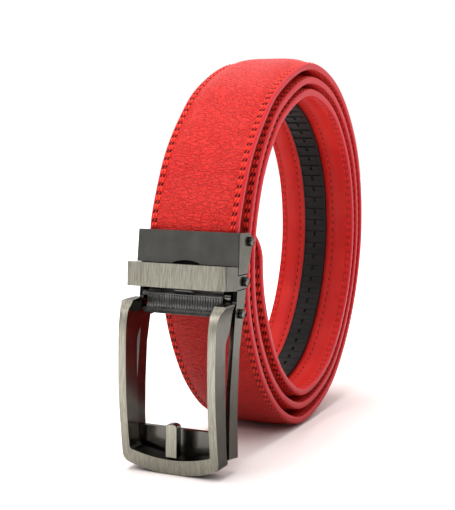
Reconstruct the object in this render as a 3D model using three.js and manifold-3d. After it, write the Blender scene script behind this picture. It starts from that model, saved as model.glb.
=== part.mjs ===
import * as THREE from 'three';
import { mergeVertices } from 'three/addons/utils/BufferGeometryUtils.js';
import Module from 'manifold-3d';

// A ratchet belt as it is shown for sale: the strap is wound into three loose
// layers that stand on edge like a wheel, and the buckle hangs down the front.
// Millimetres, Z up from the floor. X runs across the strap, the buckle faces -Y,
// and the coil's axis crosses YZ at the height of its radius.

const wasm = await Module();
wasm.setup();

// Strap
const strapWidth = 35;
const strapEdge = 2.7;
const panelRise = 2;
const panelBorder = 3;
const edgeBevel = 0.5;
const coilRadius = 76.8;
const tipLength = 17;
const endBelowPlate = 2.4;
const stepLength = 6.6;

// Ratchet track on the inner face of the free end
const trackWidth = 10.2;
const trackBase = 0.9;
const toothHeight = 0.9;
const toothPitch = 5.8;
const trackLength = 320;
const trackFromTip = 24;

// Clearances
const gap = 0.3;
const trackSeat = 0.4;

// How far joined shapes run into each other, and cutting shapes past what they cut
const overlap = 0.2;
const past = 1;

// Buckle as a whole
const buckleHeight = 86.2;
const sideThickness = 1.6;
const railReach = 19;
const clampRear = 12.1;
const clampLean = 0.12;
const clampRun = 5;

// Clamp plate, flap and keeper bar
const plateHeight = 12;
const plateThickness = 1.5;
const plateOverhang = 0.4;
const padThickness = 0.9;
const padDrop = 1.4;
const notchWidth = 10.4;
const notchHeight = 1.1;
const flapThickness = 1.2;
const flapHeight = 12.5;
const barrelRadius = 1.8;
const flapArm = 2;
const keeperHeight = 8.6;
const keeperRise = 0.9;
const keeperReach = 11.9;
const keeperWall = 1.5;
const keeperCorner = 2.3;
const keeperLean = 0.1;
const tabHeight = 5;
const tabThickness = 0.6;
const tabLength = 7.6;
const tabDrop = 3.6;
const tabEnd = 1.9;
const tabRoot = 2;
const sideSetBack = 0.9;

// Crossbar at the foot of the rails, web under the clamp
const crossbarHeight = 9.6;
const crossbarThickness = 2;
const crossbarFoot = 5.2;
const webHeight = 2.4;
const webDepth = 3.4;
const backThickness = 1.2;
const webAboveTab = 3.4;
const crossbarForward = 0.9;

// Pins and rivets
const pinRadius = 1.2;
const rivetRadius = 2.1;
const rivetHeight = 0.9;
const rivetSides = 18;
const rearPinDrop = 3.7;
const framePinDrop = 4.76;
const leverPinDrop = 11.02;

// Front frame
const frameBelowKeeper = 4.8;
const frameReach = 13.6;
const frameStandOff = 16.6;
const armInset = 0.5;
const armWidth = 3;
const headOutward = 1.5;
const headHeight = 8.5;
const barHeight = 5.8;
const barSag = 4.2;
const frameCorner = 2.1;
const lugThickness = 1.5;
const lugWall = 1.3;
const lugRoot = 2;
const lugAbovePin = 2.8;
const lugBelowPin = 2.2;
const windowCorner = 1.5;

// Fake prong on the frame's lower bar
const prongWidth = 4.5;
const prongHeight = 12.2;
const prongDepth = 3.7;
const prongForward = 0.68;

// Ribbed ratchet lever
const leverWidth = 29.8;
const ribPitch = 1.02;
const ribWidth = 0.5;
const ribRise = 0.35;
const ribRoot = 0.6;

// Radius of each layer's edge line at stations round the coil, as shares of the
// coil's radius. Turn runs from the front up over the top, down the back and
// forward along the floor.
const coilTable = [
  { turn: 0, first: 0.986, second: 0.839, third: 0.777 },
  { turn: 0.033, first: 0.977, second: 0.834, third: 0.776 },
  { turn: 0.083, first: 0.957, second: 0.838, third: 0.780 },
  { turn: 0.125, first: 0.945, second: 0.848, third: 0.789 },
  { turn: 0.167, first: 0.949, second: 0.862, third: 0.802 },
  { turn: 0.25, first: 0.975, second: 0.901, third: 0.836 },
  { turn: 0.333, first: 0.991, second: 0.917, third: 0.840 },
  { turn: 0.417, first: 1.000, second: 0.919, third: 0.833 },
  { turn: 0.5, first: 0.983, second: 0.901, third: 0.818 },
  { turn: 0.583, first: 0.961, second: 0.888, third: 0.815 },
  { turn: 0.667, first: 0.971, second: 0.904, third: 0.833 },
  { turn: 0.75, first: 0.975, second: 0.897, third: 0.827 },
  { turn: 0.806, first: 0.940, second: 0.862, third: 0.771 },
  { turn: 0.861, first: 0.898, second: 0.822, third: 0.717 },
  { turn: 0.917, first: 0.869, second: 0.798, third: 0.681 },
  { turn: 0.958, first: 0.860, second: 0.786, third: 0.678 },
];
const topTurn = 0.25;
const floorTurn = 0.75;

// How far the padded panel stands up, as shares of panelRise: it is squeezed in
// the clamp, where the coil rests on the floor and between the layers.
const riseTable = [
  { turn: 0, rise: 0.55 },
  { turn: 0.03, rise: 0.55 },
  { turn: 0.1, rise: 1 },
  { turn: 0.55, rise: 1 },
  { turn: 0.7, rise: 0.6 },
];
// The free end's last stretch inside the third layer
const tailTable = [
  { turn: 3, radius: 0.676 },
  { turn: 3.045, radius: 0.681 },
];

// Side plate outline: forward is a share of railReach from the rearmost point,
// up is a share of buckleHeight.
const sideOutline = [
  { forward: 0.605, up: 0.998 },
  { forward: 0.640, up: 0.868 },
  { forward: 0.700, up: 0.759 },
  { forward: 0.726, up: 0.718 },
  { forward: 0.795, up: 0.645 },
  { forward: 0.870, up: 0.524 },
  { forward: 0.965, up: 0.359 },
  { forward: 0.985, up: 0.209 },
  { forward: 0.974, up: 0.073 },
  { forward: 0.570, up: 0.060 },
  { forward: 0.620, up: 0.209 },
  { forward: 0.615, up: 0.348 },
  { forward: 0.560, up: 0.513 },
  { forward: 0.421, up: 0.634 },
  { forward: 0.330, up: 0.718 },
  { forward: 0.250, up: 0.818 },
  { forward: 0.150, up: 0.870 },
  { forward: 0.030, up: 0.930 },
  { forward: 0.000, up: 0.955 },
  { forward: 0.040, up: 0.980 },
  { forward: 0.180, up: 0.994 },
];

// Front frame seen from the side: forward is a share of frameReach from the
// rearmost point of the heads, up is a share of frameHeight.
const frameFront = [
  { forward: 0.62, up: 0.992 },
  { forward: 0.74, up: 0.968 },
  { forward: 0.87, up: 0.942 },
  { forward: 0.96, up: 0.887 },
  { forward: 1.00, up: 0.806 },
  { forward: 0.985, up: 0.484 },
  { forward: 0.82, up: 0.194 },
  { forward: 0.70, up: 0.055 },
  { forward: 0.62, up: 0.000 },
];
const frameBack = [
  { forward: 0.19, up: 0.000 },
  { forward: 0.18, up: 0.100 },
  { forward: 0.32, up: 0.350 },
  { forward: 0.39, up: 0.645 },
  { forward: 0.37, up: 0.773 },
  { forward: 0.24, up: 0.815 },
  { forward: 0.12, up: 0.850 },
  { forward: 0.07, up: 0.903 },
  { forward: 0.08, up: 1.000 },
];

// Lever seen from the side, in shares of its drop below the pin and its reach in
// front of it: the ribbed face runs straight down and then flares to a thin lip.
const leverDrop = 6.6;
const leverReach = 5.4;
const leverOutline = [
  { forward: -0.20, up: 0.32 },
  { forward: 0.40, up: 0.30 },
  { forward: 0.48, up: -0.42 },
  { forward: 1.00, up: -0.94 },
  { forward: 0.92, up: -1.00 },
  { forward: 0.30, up: -0.72 },
  { forward: -0.34, up: -0.30 },
];

// Sizes that follow
const clampRise = panelRise * riseTable[0].rise;
const floorRise = panelRise * riseTable[riseTable.length - 1].rise;
const floorRow = coilTable.find((row) => row.turn === floorTurn);
const centreZ = coilRadius * floorRow.first + floorRise;
const panelFace = coilRadius * coilTable[0].first + clampRise;
const sideInner = strapWidth / 2 + gap;
const sideOuter = sideInner + sideThickness;
const rearY = -panelFace + clampRear;
const plateBottom = buckleHeight - plateHeight;
const plateBack = (z) => -panelFace - gap - padThickness + clampLean * (z - centreZ);
const keeperTop = plateBottom + gap;
const keeperFoot = keeperTop + keeperRise - keeperHeight;
const keeperFront = plateBack(plateBottom) - keeperReach;
const frameHeight = keeperFoot - frameBelowKeeper;
const frameRear = rearY - frameStandOff;
const frameHalfWidth = sideOuter - armInset;

const materials = {
  leather: { color: 0xd42a2a, roughness: 0.5, metalness: 0 },
  track: { color: 0x151515, roughness: 0.6, metalness: 0 },
  gunmetal: { color: 0x55554f, roughness: 0.25, metalness: 1 },
  brushed: { color: 0x9d978a, roughness: 0.4, metalness: 1 },
  lever: { color: 0x2f2f2d, roughness: 0.45, metalness: 1 },
};

const group = new THREE.Group();

function addMesh(name, geometry, look) {
  const mesh = new THREE.Mesh(geometry, new THREE.MeshStandardMaterial(materials[look]));
  mesh.name = name;
  group.add(mesh);
  return mesh;
}

// Solids

function toSolid(geometry) {
  const bare = geometry.clone();
  bare.deleteAttribute('normal');
  bare.deleteAttribute('uv');
  const merged = mergeVertices(bare, 1e-4);
  return new wasm.Manifold(new wasm.Mesh({
    numProp: 3,
    vertProperties: new Float32Array(merged.attributes.position.array),
    triVerts: new Uint32Array(merged.index.array),
  }));
}

function toGeometry(solid) {
  const mesh = solid.getMesh();
  const geometry = new THREE.BufferGeometry();
  geometry.setAttribute('position', new THREE.BufferAttribute(mesh.vertProperties, 3));
  geometry.setIndex(new THREE.BufferAttribute(mesh.triVerts, 1));
  geometry.computeVertexNormals();
  return geometry;
}

function box(x0, x1, y0, y1, z0, z1) {
  const geometry = new THREE.BoxGeometry(x1 - x0, y1 - y0, z1 - z0);
  geometry.translate((x0 + x1) / 2, (y0 + y1) / 2, (z0 + z1) / 2);
  return geometry;
}

// Extrudes an outline drawn in the YZ plane along X.
function alongX(points, x0, x1) {
  const shape = new THREE.Shape(points.map((p) => new THREE.Vector2(p.y, p.z)));
  const geometry = new THREE.ExtrudeGeometry(shape, { depth: x1 - x0, bevelEnabled: false });
  const turn = new THREE.Matrix4().set(0, 0, 1, x0, 1, 0, 0, 0, 0, 1, 0, 0, 0, 0, 0, 1);
  geometry.applyMatrix4(turn);
  return geometry;
}

// Extrudes a shape drawn in the XZ plane from y0 back to y1.
function alongY(shape, y0, y1) {
  const geometry = new THREE.ExtrudeGeometry(shape, {
    depth: y1 - y0,
    bevelEnabled: false,
    curveSegments: 10,
  });
  const turn = new THREE.Matrix4().set(1, 0, 0, 0, 0, 0, -1, y1, 0, 1, 0, 0, 0, 0, 0, 1);
  geometry.applyMatrix4(turn);
  return geometry;
}

function cylinderX(radius, x0, x1, y, z, sides = 20) {
  const geometry = new THREE.CylinderGeometry(radius, radius, x1 - x0, sides);
  geometry.rotateZ(-Math.PI / 2);
  geometry.translate((x0 + x1) / 2, y, z);
  return geometry;
}

// A domed rivet head whose flat side faces the buckle.
function rivetHead(x, side, y, z) {
  const profile = [
    new THREE.Vector2(0, 0),
    new THREE.Vector2(rivetRadius, 0),
    new THREE.Vector2(rivetRadius, rivetHeight * 0.45),
    new THREE.Vector2(rivetRadius * 0.8, rivetHeight * 0.85),
    new THREE.Vector2(rivetRadius * 0.4, rivetHeight),
    new THREE.Vector2(0, rivetHeight),
  ];
  const geometry = new THREE.LatheGeometry(profile, rivetSides);
  geometry.rotateZ(-side * Math.PI / 2);
  geometry.translate(x, y, z);
  return geometry;
}

// Strap

function polar(turn, radius) {
  const angle = Math.PI * (1 - 2 * turn);
  return new THREE.Vector3(0, radius * Math.cos(angle), centreZ + radius * Math.sin(angle));
}

function coilRoute() {
  const points = [];
  const lean = (z) => -coilRadius * coilTable[0].first + clampLean * (z - centreZ);
  const startZ = plateBottom - endBelowPlate;
  points.push(new THREE.Vector3(0, lean(startZ), startZ));
  points.push(new THREE.Vector3(0, lean(buckleHeight), buckleHeight));
  ['first', 'second', 'third'].forEach((layer, index) => {
    coilTable.forEach((row) => {
      const point = polar(index + row.turn, coilRadius * row[layer]);
      const inClamp = index === 0 && row.turn < topTurn && point.z < buckleHeight + clampRun;
      if (!inClamp) points.push(point);
    });
  });
  tailTable.forEach((row) => points.push(polar(row.turn, coilRadius * row.radius)));
  return new THREE.CatmullRomCurve3(points, false, 'centripetal');
}

const route = coilRoute();
route.arcLengthDivisions = 2400;
const routeLength = route.getLength();

// Point on the edge line and its outward direction at a distance from the clamp.
function station(distance) {
  const u = Math.min(Math.max(distance / routeLength, 0), 1);
  const point = route.getPointAt(u);
  const tangent = route.getTangentAt(u);
  return { point, outward: new THREE.Vector3(0, -tangent.z, tangent.y) };
}

// Joins rings of equal length into one closed body.
function loft(rings) {
  const count = rings[0].length;
  const positions = [];
  rings.forEach((ring) => ring.forEach((p) => positions.push(p.x, p.y, p.z)));
  const index = [];
  for (let r = 0; r + 1 < rings.length; r += 1) {
    for (let k = 0; k < count; k += 1) {
      const a = r * count + k;
      const b = r * count + (k + 1) % count;
      index.push(a, b + count, b);
      index.push(a, a + count, b + count);
    }
  }
  const capAt = (start, flip) => {
    for (let k = 1; k < count / 2; k += 1) {
      const low = start + k - 1;
      const lowNext = start + k;
      const high = start + count - k;
      const highNext = start + count - 1 - k;
      const quad = [[low, high, lowNext], [lowNext, high, highNext]];
      quad.forEach(([a, b, c]) => {
        if (new Set([a, b, c]).size === 3) index.push(...(flip ? [a, c, b] : [a, b, c]));
      });
    }
  };
  capAt(0, true);
  capAt((rings.length - 1) * count, false);
  const geometry = new THREE.BufferGeometry();
  geometry.setAttribute('position', new THREE.Float32BufferAttribute(positions, 3));
  geometry.setIndex(index);
  return geometry;
}

function place(here, x, out) {
  return here.point.clone().addScaledVector(here.outward, out).setX(x);
}

// Half of the strap's section from its inner face round the edge to the crown of
// the padded panel, mirrored by the caller.
function strapHalf(half, rise) {
  const scale = half / (strapWidth / 2);
  const bevel = edgeBevel * scale;
  const panel = half - panelBorder * scale;
  return [
    [half - bevel, -strapEdge],
    [half, -strapEdge + bevel],
    [half, -bevel],
    [half - bevel, 0],
    [panel, rise * 0.12],
    [panel * 0.82, rise * 0.68],
    [panel * 0.45, rise],
  ];
}

function riseAt(turn) {
  const next = riseTable.findIndex((row) => row.turn > turn);
  if (next < 0) return panelRise * riseTable[riseTable.length - 1].rise;
  const a = riseTable[next - 1];
  const b = riseTable[next];
  return panelRise * THREE.MathUtils.mapLinear(turn, a.turn, b.turn, a.rise, b.rise);
}

function strapBody() {
  const rings = [];
  const steps = Math.ceil(routeLength / stepLength);
  const distances = [];
  for (let k = 0; k <= steps; k += 1) {
    const distance = routeLength * k / steps;
    if (distance < routeLength - tipLength) distances.push(distance);
  }
  const tipSteps = 8;
  for (let k = 0; k <= tipSteps; k += 1) {
    distances.push(routeLength - tipLength * (1 - Math.sin(Math.PI / 2 * k / tipSteps)));
  }
  distances.forEach((distance) => {
    const fromTip = Math.max(routeLength - distance, 0);
    const along = Math.min(fromTip / tipLength, 1);
    const half = strapWidth / 2 * Math.max(Math.sqrt(1 - (1 - along) ** 2), 0.2);
    const here = station(distance);
    const rise = riseAt(distance / (2 * Math.PI * coilRadius)) * Math.min(1, along * 3);
    const right = strapHalf(half, rise).map(([x, out]) => place(here, x, out));
    const left = strapHalf(half, rise).map(([x, out]) => place(here, -x, out)).reverse();
    rings.push([...right, ...left]);
  });
  return loft(rings);
}

function toothedTrack() {
  const rings = [];
  const inner = -strapEdge - trackSeat;
  const half = trackWidth / 2;
  const count = Math.floor(trackLength / toothPitch);
  const end = routeLength - trackFromTip;
  const start = end - count * toothPitch;
  const profile = [
    { share: 0, depth: 0 },
    { share: 0.12, depth: toothHeight },
    { share: 0.62, depth: toothHeight },
    { share: 0.9, depth: 0 },
  ];
  const ring = (distance, depth) => {
    const here = station(distance);
    const low = inner - trackBase - depth;
    return [
      place(here, half, low),
      place(here, half, inner),
      place(here, -half, inner),
      place(here, -half, low),
    ];
  };
  for (let tooth = 0; tooth < count; tooth += 1) {
    profile.forEach((step) => {
      rings.push(ring(start + (tooth + step.share) * toothPitch, step.depth));
    });
  }
  rings.push(ring(end, 0));
  return loft(rings);
}

// Buckle

function outlinePoints(table, rear, reach, height) {
  return table.map((row) => ({ y: rear - row.forward * reach, z: row.up * height }));
}

const tabTop = keeperTop - tabDrop;
const tabBottom = tabTop - tabHeight;
const sideFrontY = plateBack(plateBottom) + sideSetBack;
const tabBackY = sideFrontY + tabLength;

const rearPin = { y: rearY - 0.146 * railReach, z: buckleHeight - rearPinDrop };
const keeperPin = { y: tabBackY - tabEnd, z: tabBottom + tabHeight / 2 };
const framePin = { y: rearY - 0.535 * railReach, z: frameHeight - framePinDrop };
const leverPin = { y: rearY - 0.725 * railReach, z: plateBottom - leverPinDrop };

function sidePlate(side) {
  const x0 = side > 0 ? sideInner : -sideOuter;
  const x1 = side > 0 ? sideOuter : -sideInner;
  let solid = toSolid(alongX(outlinePoints(sideOutline, rearY, railReach, buckleHeight), x0, x1));
  const far = railReach * 2;
  const clearTop = plateBottom + gap;
  const clearFront = box(x0 - past, x1 + past, rearY - far, sideFrontY, tabBottom - gap, clearTop);
  solid = solid.subtract(toSolid(clearFront));
  const tabX = sideOuter - tabThickness - gap;
  const n0 = side > 0 ? tabX : -sideOuter - past;
  const n1 = side > 0 ? sideOuter + past : -tabX;
  const notch = box(n0, n1, rearY - far, tabBackY + gap, tabBottom - gap, tabTop + gap);
  solid = solid.subtract(toSolid(notch));
  [rearPin, keeperPin, framePin].forEach((pin) => {
    solid = solid.subtract(toSolid(cylinderX(pinRadius + gap, x0 - past, x1 + past, pin.y, pin.z)));
  });
  return solid;
}

function housing() {
  let solid = sidePlate(1).add(sidePlate(-1));
  const barFront = rearY - railReach * crossbarForward;
  const bar = box(
    -sideInner - overlap, sideInner + overlap,
    barFront, barFront + crossbarThickness,
    crossbarFoot, crossbarFoot + crossbarHeight,
  );
  solid = solid.add(toSolid(bar));
  const webTop = tabBottom + webAboveTab;
  const webFront = sideFrontY + overlap;
  const web = box(
    -sideInner - overlap, sideInner + overlap,
    webFront, webFront + webDepth,
    webTop - webHeight, webTop,
  );
  const backFoot = framePin.z + pinRadius + lugWall + gap;
  const backY = webFront + webDepth;
  const back = box(
    -sideInner - overlap, sideInner + overlap,
    backY - backThickness, backY,
    backFoot, webTop,
  );
  return toGeometry(solid.add(toSolid(web)).add(toSolid(back)));
}

// Front plate with an arched notch in its lower edge, on a pad that bears on the strap.
function clampPlate() {
  const sheetHalf = sideOuter + plateOverhang;
  const lowY = plateBack(plateBottom);
  const highY = plateBack(buckleHeight);
  const sheet = [
    { y: lowY, z: plateBottom + gap },
    { y: lowY - plateThickness, z: plateBottom + gap },
    { y: highY - plateThickness, z: buckleHeight },
    { y: highY, z: buckleHeight },
  ];
  const padFoot = plateBottom + gap - padDrop;
  const pad = [
    { y: plateBack(padFoot) + padThickness, z: padFoot },
    { y: plateBack(padFoot) - overlap, z: padFoot },
    { y: highY - overlap, z: buckleHeight },
    { y: highY + padThickness, z: buckleHeight },
  ];
  const padHalf = sideInner - gap;
  const arch = new THREE.Shape();
  arch.moveTo(-notchWidth / 2, plateBottom - past);
  arch.lineTo(notchWidth / 2, plateBottom - past);
  arch.lineTo(notchWidth / 2, plateBottom + notchHeight * 0.6);
  const spring = plateBottom + notchHeight * 0.6;
  arch.quadraticCurveTo(0, plateBottom + notchHeight * 2.2, -notchWidth / 2, spring);
  const cut = alongY(arch, lowY - plateThickness * 3, lowY + plateThickness * 3);
  const solid = toSolid(alongX(sheet, -sheetHalf, sheetHalf)).subtract(toSolid(cut));
  return toGeometry(solid.add(toSolid(alongX(pad, -padHalf, padHalf))));
}

// Rear flap that closes on the strap's end: a plate under a barrel round its pin.
function clampFlap() {
  const strapInner = -coilRadius * coilTable[0].first + strapEdge;
  const innerFace = (z) => strapInner + gap + clampLean * (z - centreZ);
  const top = rearPin.z;
  const bottom = top - flapHeight;
  const outline = [
    { y: innerFace(bottom), z: bottom },
    { y: innerFace(top), z: top },
    { y: innerFace(top) + flapThickness, z: top },
    { y: innerFace(bottom) + flapThickness, z: bottom },
  ];
  const half = sideInner - gap;
  let solid = toSolid(alongX(outline.reverse(), -half, half));
  const armBack = innerFace(top) + flapThickness / 2;
  const arm = box(-half, half, armBack, rearPin.y, top - flapArm / 2, top + flapArm / 2);
  solid = solid.add(toSolid(arm));
  solid = solid.add(toSolid(cylinderX(barrelRadius, -half, half, rearPin.y, rearPin.z)));
  solid = solid.subtract(toSolid(cylinderX(pinRadius + gap, -half - past, half + past, rearPin.y, rearPin.z)));
  return toGeometry(solid);
}

function keeperBar() {
  const half = sideOuter;
  const back = keeperReach;
  const plan = new THREE.Shape();
  plan.moveTo(-half, back);
  plan.lineTo(-half, keeperCorner);
  plan.absarc(-half + keeperCorner, keeperCorner, keeperCorner, Math.PI, Math.PI * 1.5, false);
  plan.absarc(half - keeperCorner, keeperCorner, keeperCorner, Math.PI * 1.5, Math.PI * 2, false);
  plan.lineTo(half, back);
  plan.lineTo(half - keeperWall, back);
  const innerR = keeperCorner - keeperWall;
  plan.absarc(half - keeperCorner, keeperCorner, innerR, 0, -Math.PI / 2, true);
  plan.absarc(-half + keeperCorner, keeperCorner, innerR, -Math.PI / 2, -Math.PI, true);
  plan.lineTo(-half + keeperWall, back);
  const geometry = new THREE.ExtrudeGeometry(plan, {
    depth: keeperHeight,
    bevelEnabled: false,
    curveSegments: 6,
  });
  geometry.rotateX(-keeperLean);
  geometry.translate(0, keeperFront, keeperFoot);
  const far = keeperHeight * 2;
  const wide = half + past;
  const behind = box(-wide, wide, sideFrontY - gap, sideFrontY + far, keeperFoot - far, keeperFoot + far);
  const plateFront = plateBack(plateBottom) - plateThickness - gap;
  const underPlate = box(-wide, wide, plateFront, sideFrontY + far, keeperTop - gap, keeperTop + far);
  let solid = toSolid(geometry).subtract(toSolid(behind)).subtract(toSolid(underPlate));
  [-1, 1].forEach((side) => {
    const outer = side * sideOuter;
    const inner = side * (sideOuter - tabThickness);
    const x0 = Math.min(outer, inner);
    const x1 = Math.max(outer, inner);
    solid = solid.add(toSolid(box(x0, x1, sideFrontY - tabRoot, tabBackY, tabBottom, tabTop)));
    const bore = cylinderX(pinRadius + gap, x0 - past, x1 + past, keeperPin.y, keeperPin.z);
    solid = solid.subtract(toSolid(bore));
  });
  return toGeometry(solid);
}

// Pin across the buckle with a rivet head at each end.
function headedPin(pin) {
  const reach = sideOuter + gap;
  let solid = toSolid(cylinderX(pinRadius, -reach - overlap, reach + overlap, pin.y, pin.z));
  solid = solid.add(toSolid(rivetHead(reach, 1, pin.y, pin.z)));
  return toGeometry(solid.add(toSolid(rivetHead(-reach, -1, pin.y, pin.z))));
}

function keeperRivet(side) {
  const reach = sideOuter + gap;
  const shank = side > 0
    ? cylinderX(pinRadius, sideInner, reach + overlap, keeperPin.y, keeperPin.z)
    : cylinderX(pinRadius, -reach - overlap, -sideInner, keeperPin.y, keeperPin.z);
  return toGeometry(toSolid(shank).add(toSolid(rivetHead(side * reach, side, keeperPin.y, keeperPin.z))));
}

function frameFace() {
  const half = frameHalfWidth;
  const inner = half - armWidth;
  const top = frameHeight + past;
  const shape = new THREE.Shape();
  shape.moveTo(-half, barSag + frameCorner);
  shape.quadraticCurveTo(-half, barSag * 0.95, -half + frameCorner, barSag * 0.72);
  shape.quadraticCurveTo(0, -barSag * 0.72, half - frameCorner, barSag * 0.72);
  shape.quadraticCurveTo(half, barSag * 0.95, half, barSag + frameCorner);
  shape.lineTo(half, top);
  shape.lineTo(inner, top);
  shape.lineTo(inner, barHeight + barSag * 0.8);
  const cornerX = inner - windowCorner;
  shape.quadraticCurveTo(inner, barHeight + barSag * 0.55, cornerX, barHeight + barSag * 0.5);
  shape.quadraticCurveTo(0, barHeight - barSag * 0.5, -cornerX, barHeight + barSag * 0.5);
  shape.quadraticCurveTo(-inner, barHeight + barSag * 0.55, -inner, barHeight + barSag * 0.8);
  shape.lineTo(-inner, top);
  shape.lineTo(-half, top);
  return shape;
}

// The arm's head flares outward towards its top.
function headFace(side) {
  const half = side * frameHalfWidth;
  const out = side * headOutward;
  const foot = frameHeight - headHeight;
  const top = frameHeight + past;
  const shape = new THREE.Shape();
  shape.moveTo(half - out, foot);
  shape.lineTo(half, foot);
  shape.quadraticCurveTo(half + out * 0.1, (foot + frameHeight) / 2, half + out, frameHeight);
  shape.lineTo(half + out, top);
  shape.lineTo(half - out, top);
  return shape;
}

function frontFrame() {
  const half = frameHalfWidth;
  const front = outlinePoints(frameFront, frameRear, frameReach, frameHeight);
  const back = outlinePoints(frameBack, frameRear, frameReach, frameHeight);
  const profile = toSolid(alongX([...front, ...back], -half - headOutward, half + headOutward));
  let faces = toSolid(alongY(frameFace(), frameRear - frameReach - past, frameRear + past));
  [-1, 1].forEach((side) => {
    const head = alongY(headFace(side), frameRear - frameReach - past, frameRear + past);
    faces = faces.add(toSolid(head));
  });
  let solid = profile.intersect(faces);
  [-1, 1].forEach((side) => {
    const outer = side * (sideInner - gap);
    const inner = side * (sideInner - gap - lugThickness);
    const x0 = Math.min(outer, inner);
    const x1 = Math.max(outer, inner);
    const eye = pinRadius + lugWall;
    const lug = [
      { y: frameRear - lugRoot, z: framePin.z - lugBelowPin },
      { y: framePin.y, z: framePin.z - eye },
      { y: framePin.y, z: framePin.z + eye },
      { y: frameRear - lugRoot, z: framePin.z + lugAbovePin },
    ];
    solid = solid.add(toSolid(alongX(lug, x0, x1)));
    solid = solid.add(toSolid(cylinderX(eye, x0, x1, framePin.y, framePin.z)));
    const bore = cylinderX(pinRadius + gap, x0 - overlap, x1 + overlap, framePin.y, framePin.z);
    solid = solid.subtract(toSolid(bore));
  });
  return toGeometry(solid);
}

function prong() {
  const half = prongWidth / 2;
  const foot = barHeight + gap * 1.5;
  const top = foot + prongHeight;
  const shape = new THREE.Shape();
  shape.moveTo(-half, foot);
  shape.lineTo(half, foot);
  shape.lineTo(half, top - half * 0.6);
  shape.quadraticCurveTo(half, top, 0, top);
  shape.quadraticCurveTo(-half, top, -half, top - half * 0.6);
  const front = frameRear - frameReach * prongForward;
  return alongY(shape, front, front + prongDepth);
}

function leverBody() {
  const outline = leverOutline.map((row) => ({
    y: leverPin.y - row.forward * leverReach,
    z: leverPin.z + row.up * leverDrop,
  }));
  const half = leverWidth / 2;
  let solid = toSolid(alongX(outline, -half, half));
  const face = outline.slice(1, 4);
  const ribBack = [...face].reverse().map((p) => ({ y: p.y + ribRoot, z: p.z }));
  const ribFront = face.map((p) => ({ y: p.y - ribRise, z: p.z }));
  const count = Math.floor((leverWidth - ribWidth) / ribPitch);
  for (let k = 0; k <= count; k += 1) {
    const x = (k - count / 2) * ribPitch;
    solid = solid.add(toSolid(alongX([...ribFront, ...ribBack], x - ribWidth / 2, x + ribWidth / 2)));
  }
  const bore = cylinderX(pinRadius + gap, -half - past, half + past, leverPin.y, leverPin.z);
  return toGeometry(solid.subtract(toSolid(bore)));
}

addMesh('strap', strapBody(), 'leather');
addMesh('ratchet_track', toothedTrack(), 'track');
addMesh('housing', housing(), 'gunmetal');
addMesh('clamp_plate', clampPlate(), 'gunmetal');
addMesh('clamp_flap', clampFlap(), 'gunmetal');
addMesh('keeper_bar', keeperBar(), 'brushed');
addMesh('flap_pin', headedPin(rearPin), 'gunmetal');
addMesh('frame_pin', headedPin(framePin), 'gunmetal');
addMesh('keeper_rivet_right', keeperRivet(1), 'gunmetal');
addMesh('keeper_rivet_left', keeperRivet(-1), 'gunmetal');
const leverPinHalf = sideInner - gap;
addMesh('lever_pin', cylinderX(pinRadius, -leverPinHalf, leverPinHalf, leverPin.y, leverPin.z), 'gunmetal');
addMesh('ratchet_lever', leverBody(), 'lever');
addMesh('front_frame', frontFrame(), 'brushed');
addMesh('prong', prong(), 'brushed');

// The origin sits on the floor under the middle of the whole belt.
const extent = new THREE.Box3().setFromObject(group);
const middle = extent.getCenter(new THREE.Vector3());
group.children.forEach((mesh) => mesh.geometry.translate(-middle.x, -middle.y, -extent.min.z));

export default group;
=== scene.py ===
import math
import bpy
from mathutils import Matrix, Vector


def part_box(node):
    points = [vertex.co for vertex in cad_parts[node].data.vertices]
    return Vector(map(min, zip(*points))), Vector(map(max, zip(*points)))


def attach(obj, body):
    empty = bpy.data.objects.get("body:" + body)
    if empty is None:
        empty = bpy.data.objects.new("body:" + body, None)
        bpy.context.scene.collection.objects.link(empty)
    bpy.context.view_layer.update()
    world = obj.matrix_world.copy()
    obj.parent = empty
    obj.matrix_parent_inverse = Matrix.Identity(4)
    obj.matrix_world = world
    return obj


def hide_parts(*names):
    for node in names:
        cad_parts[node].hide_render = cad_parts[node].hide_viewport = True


# A red leather ratchet belt, wound up and standing on edge, with its dark nickel buckle.
# Sizes are in millimetres and become metres where a mesh is made.

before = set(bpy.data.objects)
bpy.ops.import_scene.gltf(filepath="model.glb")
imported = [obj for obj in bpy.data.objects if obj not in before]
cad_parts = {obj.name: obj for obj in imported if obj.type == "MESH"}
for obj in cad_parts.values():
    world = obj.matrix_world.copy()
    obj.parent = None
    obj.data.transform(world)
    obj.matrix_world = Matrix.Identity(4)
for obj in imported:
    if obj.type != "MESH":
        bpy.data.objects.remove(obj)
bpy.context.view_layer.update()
MM = 0.001

# Strap
strap_width = 35.0
strap_edge = 2.7
panel_rise = 2.0
panel_half = 14.4
coil_radius = 76.8
tip_length = 17.0
end_below_plate = 2.4
clamp_lean = 0.12
clamp_run = 5.0
stitch_pitch = 3.5
stitch_length = 2.35
stitch_slant = 0.06
thread_radius = 0.37
hole_slant = 0.4
hole_half_length = 0.56
outer_groove = 0.18
lining_groove = 0.16
edge_rows = (15.2, 16.32)
lining_row = 8.0
outer_low = -0.31
lining_high = -2.3

# Track
track_width = 10.2
track_base = 0.9
tooth_height = 0.9
tooth_pitch = 5.8
track_length = 320.0
track_from_tip = 24.0
track_seat = 0.4
track_rim = 0.55
slot_half = 0.45

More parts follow.
